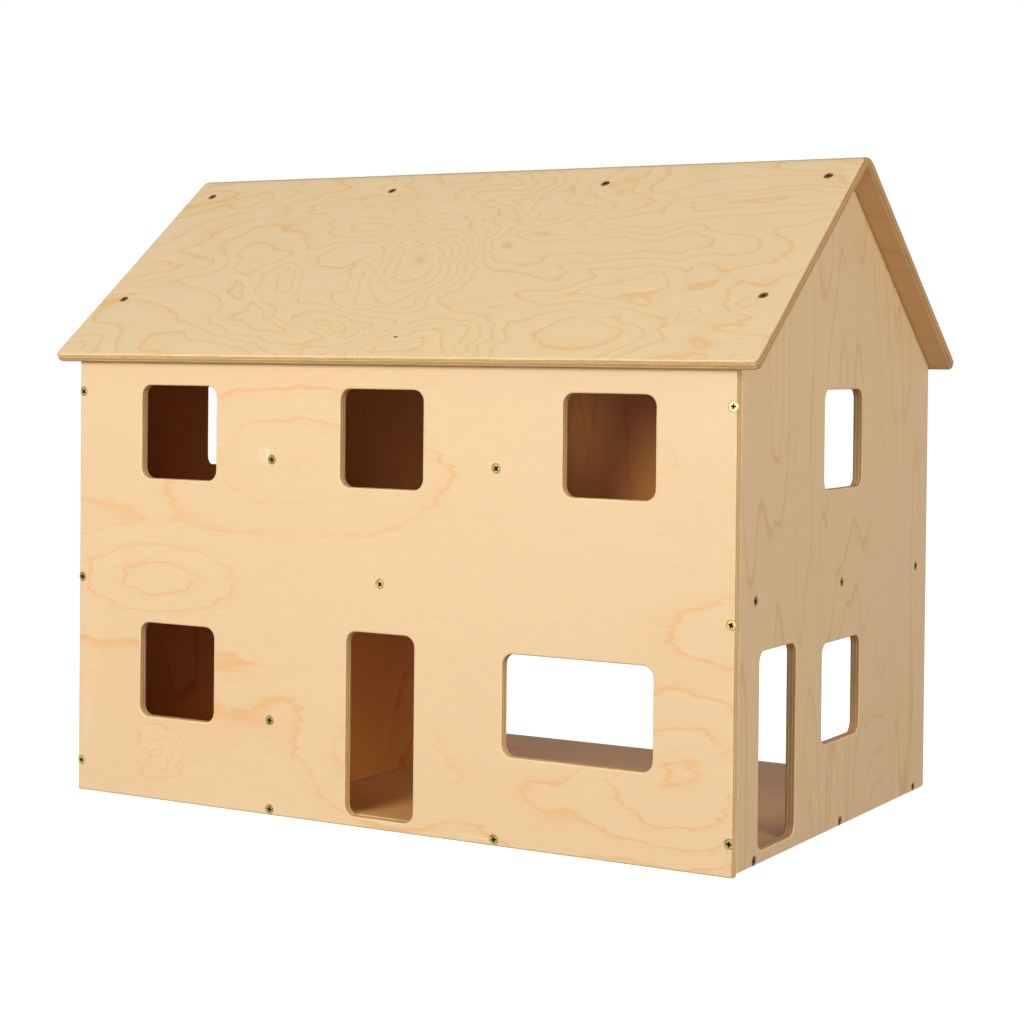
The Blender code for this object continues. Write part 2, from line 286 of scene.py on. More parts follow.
# Where along the bloom each of the zinc's tints is pure
BLOOM_STOPS = (0.30, 0.46, 0.62, 0.76)

# Depth of the fine relief of fibres and ply layers
RELIEF = 0.0003

# A reach far beyond any board's thickness
ANY_DEPTH = 1e3

PATCH_TINT = (0.93, 0.73, 0.50)
KNOT_TINT = (0.055, 0.016, 0.005)

# Ply layers across the thickness: tint, start and end as shares of it. The gaps are glue
PLY_LAYERS = (
    ("light", 0.0, 0.075), ("dark", 0.115, 0.225), ("mid", 0.265, 0.385), ("dark", 0.415, 0.575),
    ("mid", 0.605, 0.735), ("dark", 0.775, 0.885), ("light", 0.925, 1.0),
)
EDGE_WAVER = 0.0005


def growth_bump(tree, vector, spot):
    """A smooth hill in the growth-ring field: (x, y, reach along x, reach along y, rings high)."""
    x, y, reach_x, reach_y, rings = spot
    place = tree.nodes.new("ShaderNodeMapping")
    place.vector_type = "TEXTURE"
    place.inputs["Location"].default_value = (x, y, 0.0)
    place.inputs["Scale"].default_value = (reach_x, reach_y, ANY_DEPTH)
    tree.links.new(vector, place.inputs["Vector"])
    hill = tree.nodes.new("ShaderNodeTexGradient")
    hill.gradient_type = "SPHERICAL"
    tree.links.new(place.outputs[0], hill.inputs["Vector"])
    smooth = ramp(tree, hill.outputs["Fac"], ((0.0, 0.0), (1.0, 1.0)), "EASE")
    return maths(tree, "MULTIPLY", smooth, rings)


def spiky(tree, flat, look, turn):
    """Pushes the growth-ring field about, mostly along the grain, so its contours run out in spikes."""
    seed = look["seed"]
    along = noise(tree, place_field(tree, SPIKE_GRAIN, (seed, 3.0, 0), turn), 1.0, 3.0, 0.55)
    across = noise(tree, place_field(tree, SWAY_GRAIN, (7.0, seed, 0), turn), 1.0, 2.0, 0.5)
    push = tree.nodes.new("ShaderNodeCombineXYZ")
    reach_along, reach_across = look["spikes"]
    tree.links.new(maths(tree, "MULTIPLY_ADD", along, reach_along, -reach_along / 2),
                   push.inputs["X"])
    tree.links.new(maths(tree, "MULTIPLY_ADD", across, reach_across, -reach_across / 2),
                   push.inputs["Y"])
    moved = tree.nodes.new("ShaderNodeVectorMath")
    moved.operation = "ADD"
    tree.links.new(flat, moved.inputs[0])
    tree.links.new(push.outputs[0], moved.inputs[1])
    return moved.outputs[0]


def spread_out(tree, flat, look):
    """The field squeezed across the grain and moved by the look's seed."""
    spread = tree.nodes.new("ShaderNodeMapping")
    spread.inputs["Scale"].default_value = (1.0, look["squeeze"], 1.0)
    spread.inputs["Location"].default_value = (look["seed"], look["seed"] * 0.37, look["seed"])
    tree.links.new(flat, spread.inputs["Vector"])
    return spread.outputs[0]


def growth_lines(tree, flat, broad, look):
    """Thin contours of a hilly field, fading out in places."""
    field = noise(tree, broad, look["scale"], 2.0, 0.40, look["swirl"])
    wobble = noise(tree, broad, look["scale"] * WOBBLE_FINENESS, 2.5, 0.62, 0.2)
    split = tree.nodes.new("ShaderNodeSeparateXYZ")
    tree.links.new(flat, split.inputs[0])
    height = maths(tree, "MULTIPLY", field, look["rings"])
    height = maths(tree, "MULTIPLY_ADD", wobble, look["ragged"], height)
    height = maths(tree, "MULTIPLY_ADD", split.outputs["Y"], look["drift"], height)
    for spot in look["bumps"]:
        height = maths(tree, "ADD", height, growth_bump(tree, flat, spot))
    line = ramp(tree, maths(tree, "FRACT", height), look["profile"])
    faint = noise(tree, broad, look["scale"] * FADE_FINENESS, 1.0, 0.5)
    faint = ramp(tree, faint, ((look["fade"], look["fade_to"]), (look["fade"] + 0.2, 1.0)))
    return maths(tree, "MULTIPLY", line, faint)


def birch_face(name, look):
    """Rotary-cut birch: thin growth-ring contours over fine fibres."""
    made, tree, shader = new_tree(name)
    turn = (0, 0, math.pi / 2) if look["upright"] else (0, 0, 0)
    seed = look["seed"]
    flat = place_field(tree, (1.0, 1.0, 1.0), (0, 0, 0), turn)
    flat = spiky(tree, flat, look, turn)
    broad = spread_out(tree, flat, look)
    line = growth_lines(tree, flat, broad, look)
    tone = noise(tree, broad, look["scale"] * TONE_FINENESS, 2.0)
    base = mix(tree, ramp(tree, tone, ((0.3, 0.0), (0.7, look["tone_depth"]))), look["base"],
               look["tone"])
    base = mix(tree, maths(tree, "MULTIPLY", line, look["line_depth"]), base, look["line"])
    fibres = noise(tree, place_field(tree, FIBRE_GRAIN, (seed, 0, 0), turn), 1.0, 3.0, 0.6)
    base = mix(tree, 1.0, base, ramp(tree, fibres, ((0.30, 0.965), (0.70, 1.025))), "MULTIPLY")
    flecks = noise(tree, place_field(tree, FLECK_GRAIN, (0, seed, 0), turn), 1.0, 1.0)
    flecks = ramp(tree, flecks, ((0.60, 0.0), (0.74, look["fleck_depth"])))
    base = mix(tree, flecks, base, look["line"])
    if look["knot"]:
        base = add_knot(tree, base, look["knot"])
    if look["patch"]:
        base = add_patch(tree, base, look["patch"])
    tree.links.new(base, shader.inputs["Base Color"])
    gloss = ramp(tree, fibres, ((0.3, 0.40), (0.7, 0.52)))
    tree.links.new(gloss, shader.inputs["Roughness"])
    shader.inputs["Specular IOR Level"].default_value = look["specular"]
    bump(tree, shader, fibres, 0.10)
    return made


def add_patch(tree, base, patch):
    """A small rectangle of lighter veneer let into the face: (x, y, width, height)."""
    x, y, width, height = patch
    spot = place_field(tree, (2 / width, 2 / height, 0.0), (-2 * x / width, -2 * y / height, 0.0))
    split = tree.nodes.new("ShaderNodeSeparateXYZ")
    tree.links.new(spot, split.inputs[0])
    across = maths(tree, "ABSOLUTE", split.outputs["X"])
    along = maths(tree, "ABSOLUTE", split.outputs["Y"])
    reach = maths(tree, "MAXIMUM", across, along)
    inside = ramp(tree, reach, ((0.90, 1.0), (1.0, 0.0)))
    fade = ramp(tree, split.outputs["X"], ((0.0, 0.25), (0.9, 0.85)))
    return mix(tree, maths(tree, "MULTIPLY", inside, fade), base, PATCH_TINT)


def add_knot(tree, base, knot):
    """A small dark pin knot: (x, y, length, width)."""
    x, y, length, width = knot
    spot = place_field(tree, (1 / length, 1 / width, 0.0), (-x / length, -y / width, 0.0))
    size = tree.nodes.new("ShaderNodeVectorMath")
    size.operation = "LENGTH"
    tree.links.new(spot, size.inputs[0])
    mask = ramp(tree, size.outputs["Value"], ((0.35, 1.0), (0.6, 0.0)))
    return mix(tree, mask, base, KNOT_TINT)


def ply_stops(look):
    """Ramp stops through the ply layers, with a glue line half-way across each gap."""
    stops = []
    for (tint, start, end), (_, after, _) in zip(PLY_LAYERS, PLY_LAYERS[1:]):
        stops += [(start, look[tint]), (end, look[tint]), ((end + after) / 2, look["glue"])]
    tint, start, end = PLY_LAYERS[-1]
    return stops + [(start, look[tint]), (end, look[tint])]


def ply_edge(name, look):
    """Cross-banded layers across the panel's thickness, with dark glue lines."""
    made, tree, shader = new_tree(name)
    split = tree.nodes.new("ShaderNodeSeparateXYZ")
    tree.links.new(board_coords(tree), split.inputs[0])
    waver = noise(tree, place_field(tree, (9.0, 9.0, 0.0)), 1.0, 2.0)
    depth = maths(tree, "MULTIPLY_ADD", waver, EDGE_WAVER, split.outputs["Z"])
    across = maths(tree, "MULTIPLY_ADD", depth, 1 / PLY, 0.5 - 0.5 * EDGE_WAVER / PLY, clamp=True)
    layers = ramp(tree, across, ply_stops(look))
    end_grain = noise(tree, place_field(tree, END_PORES), 1.0, 2.0, 0.6)
    streaks = noise(tree, place_field(tree, END_STREAKS), 1.0, 2.0, 0.6)
    base = mix(tree, 1.0, layers, ramp(tree, end_grain, ((0.3, 0.82), (0.7, 1.10))), "MULTIPLY")
    base = mix(tree, 1.0, base, ramp(tree, streaks, ((0.3, 0.86), (0.7, 1.10))), "MULTIPLY")
    if look["end_grain_beyond"]:
        sideways = maths(tree, "ABSOLUTE", split.outputs["X"])
        at_end = maths(tree, "GREATER_THAN", sideways, look["end_grain_beyond"])
        base = mix(tree, at_end, base, mix(tree, 1.0, base, END_GRAIN_TINT, "MULTIPLY"))
    tree.links.new(base, shader.inputs["Base Color"])
    shader.inputs["Roughness"].default_value = 0.62
    shader.inputs["Specular IOR Level"].default_value = 0.2
    bump(tree, shader, layers, 0.25)
    return made


def zinc(name, tints):
    """Passivated zinc whose bloom runs through four tints, brighter on some screws than others."""
    made, tree, shader = new_tree(name)
    info = tree.nodes.new("ShaderNodeObjectInfo")
    field = place_field(tree, (1.0, 1.0, 1.0))
    move = tree.nodes.new("ShaderNodeVectorMath")
    move.operation = "ADD"
    tree.links.new(field, move.inputs[0])
    tree.links.new(info.outputs["Random"], move.inputs[1])
    bloom = noise(tree, move.outputs[0], BLOOM_GRAIN, 2.0)
    colour = ramp(tree, bloom, tuple(zip(BLOOM_STOPS, tints)))
    own = ramp(tree, info.outputs["Random"], ((0.0, 0.50), (1.0, 1.0)))
    tree.links.new(mix(tree, 1.0, colour, own, "MULTIPLY"), shader.inputs["Base Color"])
    shader.inputs["Metallic"].default_value = 0.9
    scratch = noise(tree, move.outputs[0], SCRATCH_GRAIN, 2.0)
    tree.links.new(ramp(tree, scratch, ((0.3, 0.22), (0.7, 0.42))), shader.inputs["Roughness"])
    return made


def painted_recess_shade(name):
    """Dark brown painted shade inside the driving recess."""
    made, tree, shader = new_tree(name)
    shade = noise(tree, place_field(tree, (1.0, 1.0, 1.0)), RECESS_GRAIN, 2.0)
    colour = ramp(tree, shade, ((0.3, (0.014, 0.004, 0.001)), (0.7, (0.090, 0.022, 0.007))))
    tree.links.new(colour, shader.inputs["Base Color"])
    shader.inputs["Roughness"].default_value = 0.5
    shader.inputs["Specular IOR Level"].default_value = 0.2
    return made


# Tints of the zinc's bloom: on the front wall's screws, and a darker copy with painted shade on all the
# others
BRIGHT_ZINC = ((0.44, 0.19, 0.07), (0.82, 0.64, 0.19), (0.88, 0.87, 0.37), (0.52, 0.21, 0.11))
SHADED_ZINC = ((0.08, 0.018, 0.005), (0.38, 0.120, 0.030), (0.60, 0.34, 0.09), (0.12, 0.026, 0.01))

# Darkness across one growth ring: (share of the ring, darkness)
FINE_LINE = ((0.0, 0.80), (0.025, 0.18), (0.09, 0.0), (0.62, 0.0), (0.90, 0.22), (0.975, 1.0))
ROOF_LINE = ((0.0, 0.80), (0.04, 0.22), (0.12, 0.0), (0.58, 0.0), (0.87, 0.28), (0.97, 1.0))

# The veneers. A bump is as growth_bump says, a knot as add_knot, a patch as add_patch
BASE_LOOK = {
    "upright": False, "seed": 1.0, "squeeze": 3.0, "scale": 2.2, "swirl": 0.5, "rings": 9.0,
    "ragged": 0.25, "drift": 1.0, "fade": 0.45, "fade_to": 0.15, "line_depth": 0.75,
    "tone_depth": 0.35, "fleck_depth": 0.20, "profile": FINE_LINE, "bumps": (),
    "spikes": (0.050, 0.012), "specular": 0.4, "knot": None, "patch": None,
    "base": (0.860, 0.610, 0.345), "line": (0.85, 0.450, 0.180), "tone": (0.81, 0.570, 0.315),
}
FRONT_LOOK = {
    **BASE_LOOK, "seed": 3.1, "rings": 3.0, "drift": 2.6, "fade": 0.34, "ragged": 0.22,
    "line_depth": 0.72, "tone_depth": 0.7, "patch": (-0.1285, 0.3335, 0.015, 0.015),
    "bumps": (
        (-0.255, 0.215, 0.15, 0.055, 2.2), (-0.085, 0.332, 0.22, 0.095, -2.6),
        (-0.250, 0.045, 0.035, 0.032, 2.4), (0.010, 0.058, 0.13, 0.090, 2.2),
        (0.300, 0.075, 0.12, 0.100, 2.8), (0.170, 0.045, 0.14, 0.070, 1.4),
        (0.385, 0.205, 0.13, 0.055, 1.3), (0.275, 0.345, 0.035, 0.022, 1.3),
    ),
}
ROOF_LOOK = {
    **BASE_LOOK, "seed": 7.7, "squeeze": 2.0, "scale": 4.0, "swirl": 0.9, "rings": 15.0,
    "drift": 2.0, "fade": 0.20, "line_depth": 0.68, "profile": ROOF_LINE,
    "spikes": (0.022, 0.018),
    "base": (0.783, 0.583, 0.324), "line": (0.745, 0.425, 0.150), "tone": (0.766, 0.588, 0.346),
    "knot": (-0.0082, 0.2770, 0.0040, 0.0022),
    "bumps": (
        (0.021, 0.163, 0.085, 0.095, 6.5), (-0.164, 0.140, 0.220, 0.042, -2.8),
        (-0.184, 0.223, 0.110, 0.055, 1.7), (-0.286, 0.245, 0.018, 0.020, 1.4),
        (-0.333, 0.229, 0.022, 0.018, 1.1), (-0.030, 0.305, 0.110, 0.085, 4.0),
        (0.245, 0.135, 0.160, 0.105, 1.5),
    ),
}
BACK_ROOF_LOOK = {**ROOF_LOOK, "seed": 21.3, "knot": None, "bumps": ()}
# The side walls' birch: a darker copy of the front's, painted shade on walls that take less light than
# the front
SHADED_SIDE_LOOK = {
    **BASE_LOOK, "upright": True, "seed": 12.4, "squeeze": 7.0, "scale": 1.5, "swirl": 0.15,
    "rings": 14.0, "drift": 6.0, "line_depth": 0.62, "spikes": (0.016, 0.0025), "ragged": 0.06,
    "fade": 0.26,
    "bumps": ((-0.400, 0.025, 0.300, 0.070, 4.0), (-0.130, 0.110, 0.220, 0.060, -3.0)),
    "base": (0.715, 0.485, 0.250), "line": (0.600, 0.330, 0.125), "tone": (0.695, 0.490, 0.270),
}
SHADED_LEFT_LOOK = {**SHADED_SIDE_LOOK, "seed": 33.0}
INSIDE_LOOK = {
    **BASE_LOOK, "seed": 41.0, "upright": True, "specular": 0.10,
    "base": (0.80, 0.345, 0.075), "line": (0.62, 0.225, 0.040), "tone": (0.74, 0.345, 0.080),
}
# A lighter copy of the inside birch for the upper left partition: painted light where more light falls
# on it
PAINTED_LIGHT_INSIDE = {
    "base": (0.95, 0.480, 0.110), "line": (0.80, 0.340, 0.070), "tone": (0.90, 0.480, 0.115),
}
FLOOR_LOOK = {
    **INSIDE_LOOK, "upright": False, "specular": 0.25,
    "base": (0.82, 0.450, 0.140), "line": (0.64, 0.32, 0.10), "tone": (0.74, 0.45, 0.19),
}
UNDER_LOOK = {
    **INSIDE_LOOK, "upright": False,
    "base": (0.84, 0.530, 0.260), "line": (0.70, 0.38, 0.15), "tone": (0.80, 0.52, 0.27),
}
EDGE_LOOK = {
    "light": (0.93, 0.66, 0.34), "mid": (0.90, 0.60, 0.285), "dark": (0.68, 0.41, 0.175),
    "glue": (0.40, 0.205, 0.080), "end_grain_beyond": None,
}
END_GRAIN_TINT = (0.72, 0.66, 0.60)
ROOF_EDGE_LOOK = {**EDGE_LOOK, "end_grain_beyond": WIDTH / 2 + GABLE_OVERHANG - ROOF_ARRIS}


# ---------------------------------------------------------------- shapes
def rounded_rectangle(centre_x, centre_y, width, height, radius):
    """Points around a rectangle whose corners are arcs."""
    points = []
    for quarter, (sx, sy) in enumerate(((1, 1), (-1, 1), (-1, -1), (1, -1))):
        cx = centre_x + sx * (width / 2 - radius)
        cy = centre_y + sy * (height / 2 - radius)
        for step in range(CORNER_STEPS + 1):
            angle = (quarter + step / CORNER_STEPS) * math.pi / 2
            points.append((cx + radius * math.cos(angle), cy + radius * math.sin(angle)))
    return points


def sheet(name, outlines, arris):
    """A board on XY, centred on z = 0, with rounded arrises. Later outlines are holes."""
    curve = bpy.data.curves.new(name + "_outline", "CURVE")
    curve.dimensions = "2D"
    curve.fill_mode = "BOTH"
    curve.extrude = PLY / 2 - arris
    curve.bevel_depth = arris
    curve.bevel_resolution = ARRIS_STEPS
    curve.offset = -arris
    for outline in outlines:
        spline = curve.splines.new("POLY")
        spline.points.add(len(outline) - 1)
        for point, (x, y) in zip(spline.points, outline):
            point.co = (x, y, 0.0, 1.0)
        spline.use_cyclic_u = True
    guide = bpy.data.objects.new(name + "_guide", curve)
    bpy.context.scene.collection.objects.link(guide)
    graph = bpy.context.evaluated_depsgraph_get()
    mesh = bpy.data.meshes.new_from_object(guide.evaluated_get(graph))
    bpy.data.objects.remove(guide, do_unlink=True)
    mesh.name = name
    edit = bmesh.new()
    edit.from_mesh(mesh)
    bmesh.ops.remove_doubles(edit, verts=edit.verts, dist=MERGE_DISTANCE)
    bmesh.ops.recalc_face_normals(edit, faces=edit.faces)
    edit.to_mesh(mesh)
    edit.free()
    return mesh


def frame_matrix(x_axis, y_axis, z_axis, origin):
    """The matrix that takes local X, Y and Z to the given axes, from the origin."""
    turn = Matrix((x_axis, y_axis, z_axis)).transposed().to_4x4()
    return Matrix.Translation(origin) @ turn


def roof_underside(y):
    """Height of the walls' tops at y: the roof's underside, less the gap."""
    return RIDGE_Z - (PLY + GAP) / math.cos(SLOPE) - abs(y) * math.tan(SLOPE)


def gable_outline(front_y, back_y, bottom_z):
    """(y, z) outline of an upright board that reaches up under both roof slopes."""
    return [
        (front_y, bottom_z), (back_y, bottom_z), (back_y, roof_underside(back_y)),
        (0.0, roof_underside(0.0)), (front_y, roof_underside(front_y)),
    ]


def roof_frame(side):
    """Local X along the ridge, Y down the slope, Z out of the roof; origin at the sharp apex."""
    down = Vector((0, side * math.cos(SLOPE), -math.sin(SLOPE)))
    out = Vector((0, side * math.sin(SLOPE), math.cos(SLOPE)))
    return frame_matrix(down.cross(out), down, out, (0, 0, RIDGE_Z))


def slice_through(edit, point, normal, remove=False):
    """Cuts the mesh along a plane. With remove, what lies beyond it goes and the cut is closed."""
    everything = edit.verts[:] + edit.edges[:] + edit.faces[:]
    made = bmesh.ops.bisect_plane(edit, geom=everything, dist=MERGE_DISTANCE, plane_co=point,
                                  plane_no=normal, clear_outer=remove)
    rim = [item for item in made["geom_cut"] if isinstance(item, bmesh.types.BMEdge)]
    if remove and rim:
        bmesh.ops.contextual_create(edit, geom=rim)
        bmesh.ops.recalc_face_normals(edit, faces=edit.faces)


def round_ridge(edit, side):
    """Lowers the top of a mitred panel onto a round of RIDGE_ROUND, thinning it evenly."""
    reach = RIDGE_ROUND * math.sin(SLOPE)
    centre_z = RIDGE_Z - RIDGE_ROUND / math.cos(SLOPE)
    for step in range(1, RIDGE_STEPS + 1):
        y = side * RIDGE_ROUND * math.sin(SLOPE * step / RIDGE_STEPS)
        slice_through(edit, Vector((0, y, 0)), Vector((0, 1, 0)))
    for vertex in edit.verts:
        y = abs(vertex.co.y)
        if y < reach:
            sharp = RIDGE_Z - y * math.tan(SLOPE)
            drop = sharp - centre_z - math.sqrt(RIDGE_ROUND ** 2 - y ** 2)
            depth = (sharp - vertex.co.z) * math.cos(SLOPE)
            vertex.co.z -= drop * (1 - depth / PLY)


def join_loops(edit, loops):
    """Walls between loops of the same number of points, lowest first."""
    for low, high in zip(loops, loops[1:]):
        for step in range(len(low)):
            after = (step + 1) % len(low)
            edit.faces.new((low[step], low[after], high[after], high[step]))


def turned(edit, profile, place):
    """Adds a round wall about the place's Z from (radius, z) pairs, and returns its rings."""
    rings = []
    for radius, z in profile:
        ring = []
        for step in range(SCREW_SIDES):
            angle = 2 * math.pi * step / SCREW_SIDES
            spot = Vector((radius * math.cos(angle), radius * math.sin(angle), z))
            ring.append(edit.verts.new(place @ spot))
        rings.append(ring)
    join_loops(edit, rings)
    return rings


def finished(name, edit):
    """The edited shape as a new mesh, its faces looking outwards."""
    bmesh.ops.recalc_face_normals(edit, faces=edit.faces)
    mesh = bpy.data.meshes.new(name)
    edit.to_mesh(mesh)
    edit.free()
    return mesh


def cut_from(mesh, cutter_mesh):
    """A new mesh: the first one with the cutter's shape taken out of it."""
    blank = bpy.data.objects.new("blank", mesh)
    cutter = bpy.data.objects.new("cutter", cutter_mesh)
    for obj in (blank, cutter):
        bpy.context.scene.collection.objects.link(obj)
    cut = blank.modifiers.new("cut", "BOOLEAN")
    cut.operation = "DIFFERENCE"
    cut.solver = "EXACT"
    cut.object = cutter
    graph = bpy.context.evaluated_depsgraph_get()
    made = bpy.data.meshes.new_from_object(blank.evaluated_get(graph))
    for obj in (blank, cutter):
        bpy.data.objects.remove(obj, do_unlink=True)
    return made


def countersink_cutter(places):
    """One mesh of conical pockets, a little wider than the screw heads."""
    edit = bmesh.new()
    rim = HEAD_RADIUS + HOLE_CLEARANCE
    foot = HEAD_RADIUS - CONE_DEPTH + HOLE_CLEARANCE
    profile = (
        (foot, -COUNTERSINK_DEPTH), (foot, -HEAD_SINK - HEAD_RIM - CONE_DEPTH),
        (rim, -HEAD_SINK - HEAD_RIM), (rim + COUNTERSINK_LIP, 0.0),
        (rim + CUTTER_FLARE, CUTTER_ABOVE_FACE),
    )
    for place in places:
        rings = turned(edit, profile, place)
        edit.faces.new(list(reversed(rings[0])))
        edit.faces.new(rings[-1])
    return finished("countersinks", edit)


def drilled(mesh, places):
    """The mesh with a countersink cut at each place, given in the mesh's own frame."""
    if not places:
        return mesh
    made = cut_from(mesh, countersink_cutter(places))
    made.name = mesh.name
    return made


def keep_coords(mesh):
    """Stores each vertex's present position, for the materials to use after the mesh is moved."""
    spots = mesh.attributes.new(BOARD_COORDS, "FLOAT_VECTOR", "POINT")
    for value, vertex in zip(spots.data, mesh.vertices):
        value.vector = vertex.co


def add_panel(name, mesh, place, face, edge, screws=(), inner=None, outward=1):
    """A panel standing for a CAD node: veneer on its two faces, ply layers on its edges.

    The face that looks along outward times local Z takes face, the other takes inner."""
    back = place.inverted()
    mesh = drilled(mesh, [back @ spot for spot in screws])
    mesh.materials.clear()
    mesh.materials.append(face)
    mesh.materials.append(edge)
    mesh.materials.append(inner or face)
    for polygon in mesh.polygons:
        facing = polygon.normal.z * outward
        if facing > FLAT_ENOUGH:
            polygon.material_index = OUTER
        elif facing < -FLAT_ENOUGH:
            polygon.material_index = INNER
        else:
            polygon.material_index = RIM
    mesh.shade_smooth()
    mesh.set_sharp_from_angle(angle=PANEL_SHARP_ANGLE)
    keep_coords(mesh)
    mesh.transform(place)
    piece = bpy.data.objects.new(name + "_panel", mesh)
    bpy.context.scene.collection.objects.link(piece)
    even = piece.modifiers.new("even_normals", "WEIGHTED_NORMAL")
    even.keep_sharp = True
    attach(piece, "root")
    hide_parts(name)
    return piece


def screw_place(point, inward):
    """A frame at the point whose Z looks out of the board, against the screw's way in."""
    out = -Vector(inward).normalized()
    return Matrix.Translation(point) @ out.to_track_quat("Z", "Y").to_matrix().to_4x4()


def screw_places():
    """Node name to (frame, board it is countersunk into)."""
    found = {}
    half_depth, half_width = DEPTH / 2, WIDTH / 2
    for number, (x, z) in enumerate(FRONT_SCREWS, 1):
        place = screw_place((x, -half_depth, z), (0, 1, 0))
        found[f"front_screw_{number:02d}"] = (place, "front_wall")
    for side, name in ((-1, "left"), (1, "right")):
        number = 0
        for z, row in ((SIDE_MID_SCREW_Z, SIDE_MID_SCREW_Y),
                       (SIDE_BOTTOM_SCREW_Z, SIDE_BOTTOM_SCREW_Y)):
            for y in row:
                number += 1
                place = screw_place((side * half_width, y, z), (-side, 0, 0))
                found[f"{name}_screw_{number}"] = (place, f"{name}_wall")
    for side, name in ((-1, "front"), (1, "back")):
        slope = roof_frame(side)
        spots = [(-WALL_SCREW_X, RIDGE_ROW), (WALL_SCREW_X, RIDGE_ROW)]
        spots += [(-UPPER_PARTITION_X, RIDGE_ROW), (UPPER_PARTITION_X, RIDGE_ROW)]
        spots += [(-WALL_SCREW_X, LOWER_ROW), (WALL_SCREW_X, LOWER_ROW)]
        for number, (x, down) in enumerate(spots, 1):
            point = slope @ Vector((0, down, 0)) + Vector((x, 0, 0))
            place = screw_place(point, -slope.col[2].to_3d())
            found[f"{name}_roof_screw_{number}"] = (place, f"{name}_roof_panel")
    mid_under = MID_FLOOR_Z - PLY / 2
    for name, x, z, board in (
        ("ground", LOWER_PARTITION_X, 0.0, "ground_floor"),
        ("left_up", -UPPER_PARTITION_X, mid_under, "mid_floor"),
        ("right_up", UPPER_PARTITION_X, mid_under, "mid_floor"),
    ):
        for number, y in enumerate(PARTITION_SCREW_Y, 1):
            found[f"{name}_screw_{number}"] = (screw_place((x, y, z), (0, 0, 1)), board)
    return found


def screw_blank():
    """Countersunk head with a low crown, and the tapering shank under it."""
    top = -HEAD_SINK
    profile = [(radius, top - depth) for radius, depth in SHANK]
    profile += [
        (NECK_RADIUS, top - HEAD_RIM - CONE_DEPTH), (HEAD_RADIUS, top - HEAD_RIM),
        (HEAD_RADIUS, top - HEAD_ARRIS), (HEAD_RADIUS - HEAD_ARRIS, top),
        (CROWN_RADIUS, top + CROWN_HEIGHT),
    ]
    edit = bmesh.new()
    rings = turned(edit, profile, Matrix.Identity(4))
    tip = edit.verts.new((0, 0, top - SCREW_LENGTH))
    foot = rings[0]
    for step in range(SCREW_SIDES):
        edit.faces.new((foot[(step + 1) % SCREW_SIDES], foot[step], tip))
    edit.faces.new(rings[-1])
    return finished("screw", edit)


def recess_cutter():
    """A tapered cross. All its faces take the second material, the recess's painted shade."""
    a, w, r = RECESS_ARM, RECESS_HALF_WIDTH, RECESS_ROOT
    plan = ((a, -w), (a, w), (r, r), (w, a), (-w, a), (-r, r),
            (-a, w), (-a, -w), (-r, -r), (-w, -a), (w, -a), (r, -r))
    edit = bmesh.new()
    loops = []
    for share, height in RECESS_LEVELS:
        z = height - HEAD_SINK
        loops.append([edit.verts.new((x * share, y * share, z)) for x, y in plan])
    join_loops(edit, loops)
    edit.faces.new(list(reversed(loops[0])))
    edit.faces.new(loops[-1])
    for face in edit.faces:
        face.material_index = 1
    return finished("cross", edit)


def screw_mesh(metal, dark):
    """A screw with a cross recess painted in shade, its head's top HEAD_SINK below z = 0."""
    blank = screw_blank()
    cutter = recess_cutter()
    for mesh in (blank, cutter):
        mesh.materials.append(metal)
        mesh.materials.append(dark)
    made = cut_from(blank, cutter)
    made.name = "countersunk_screw"
    made.shade_smooth()
    made.set_sharp_from_angle(angle=SCREW_SHARP_ANGLE)
    keep_coords(made)
    return made


def holes_in(board, places):
    """The frames of the screws that are countersunk into a board."""
    return [place for place, owner in places.values() if owner == board]


def upright_frame(x):
    """For a board that stands along Y: local X along Y, local Y up, local Z along X."""
    return frame_matrix((0, 1, 0), (0, 0, 1), (1, 0, 0), (x, 0, 0))


def build_front_wall(places, edge, inside):
    """Its top edge is planed to the roof's slope."""
    top = roof_underside(-DEPTH / 2)
    outline = [(-WIDTH / 2, 0.0), (WIDTH / 2, 0.0), (WIDTH / 2, top), (-WIDTH / 2, top)]
    openings = [rounded_rectangle(x, z, w, h, OPENING_CORNER) for x, z, w, h in FRONT_OPENINGS]
    mesh = sheet("front_wall", [outline] + openings, ARRIS)
    for vertex in mesh.vertices:
        if vertex.co.y > top - 2 * ARRIS:
            vertex.co.y += (PLY / 2 - vertex.co.z) * math.tan(SLOPE)
    place = frame_matrix((1, 0, 0), (0, 0, 1), (0, -1, 0), (0, -DEPTH / 2 + PLY / 2, 0))
    add_panel("front_wall", mesh, place, birch_face("front_birch", FRONT_LOOK), edge,
              holes_in("front_wall", places), inside)


def build_side_walls(places, edge, inside):
    outline = gable_outline(-DEPTH / 2 + PLY + GAP, DEPTH / 2, SIDE_WALL_LIFT)
    for name, side, look, cuts in (
        ("left_wall", -1, SHADED_LEFT_LOOK, (SIDE_UPPER_WINDOW,)),
        ("right_wall", 1, SHADED_SIDE_LOOK, (SIDE_UPPER_WINDOW, SIDE_LOWER_WINDOW, SIDE_DOOR)),
    ):
        openings = [rounded_rectangle(y, z, w, h, OPENING_CORNER) for y, z, w, h in cuts]
        mesh = sheet(name, [outline] + openings, ARRIS)
        add_panel(name, mesh, upright_frame(side * (WIDTH - PLY) / 2),
                  birch_face(name + "_birch", look), edge, holes_in(name, places), inside, side)


def build_floors(places, edge):
    half_width = WIDTH / 2 - PLY - GAP
    front, back = -DEPTH / 2 + PLY + GAP, DEPTH / 2
    plan = [(-half_width, front), (half_width, front), (half_width, back), (-half_width, back)]
    for name, z, seed in (("ground_floor", PLY / 2, 51.0), ("mid_floor", MID_FLOOR_Z, 57.0)):
        look = {**FLOOR_LOOK, "seed": seed}
        add_panel(name, sheet(name, [plan], ARRIS), Matrix.Translation((0, 0, z)),
                  birch_face(name + "_birch", look), edge, holes_in(name, places))


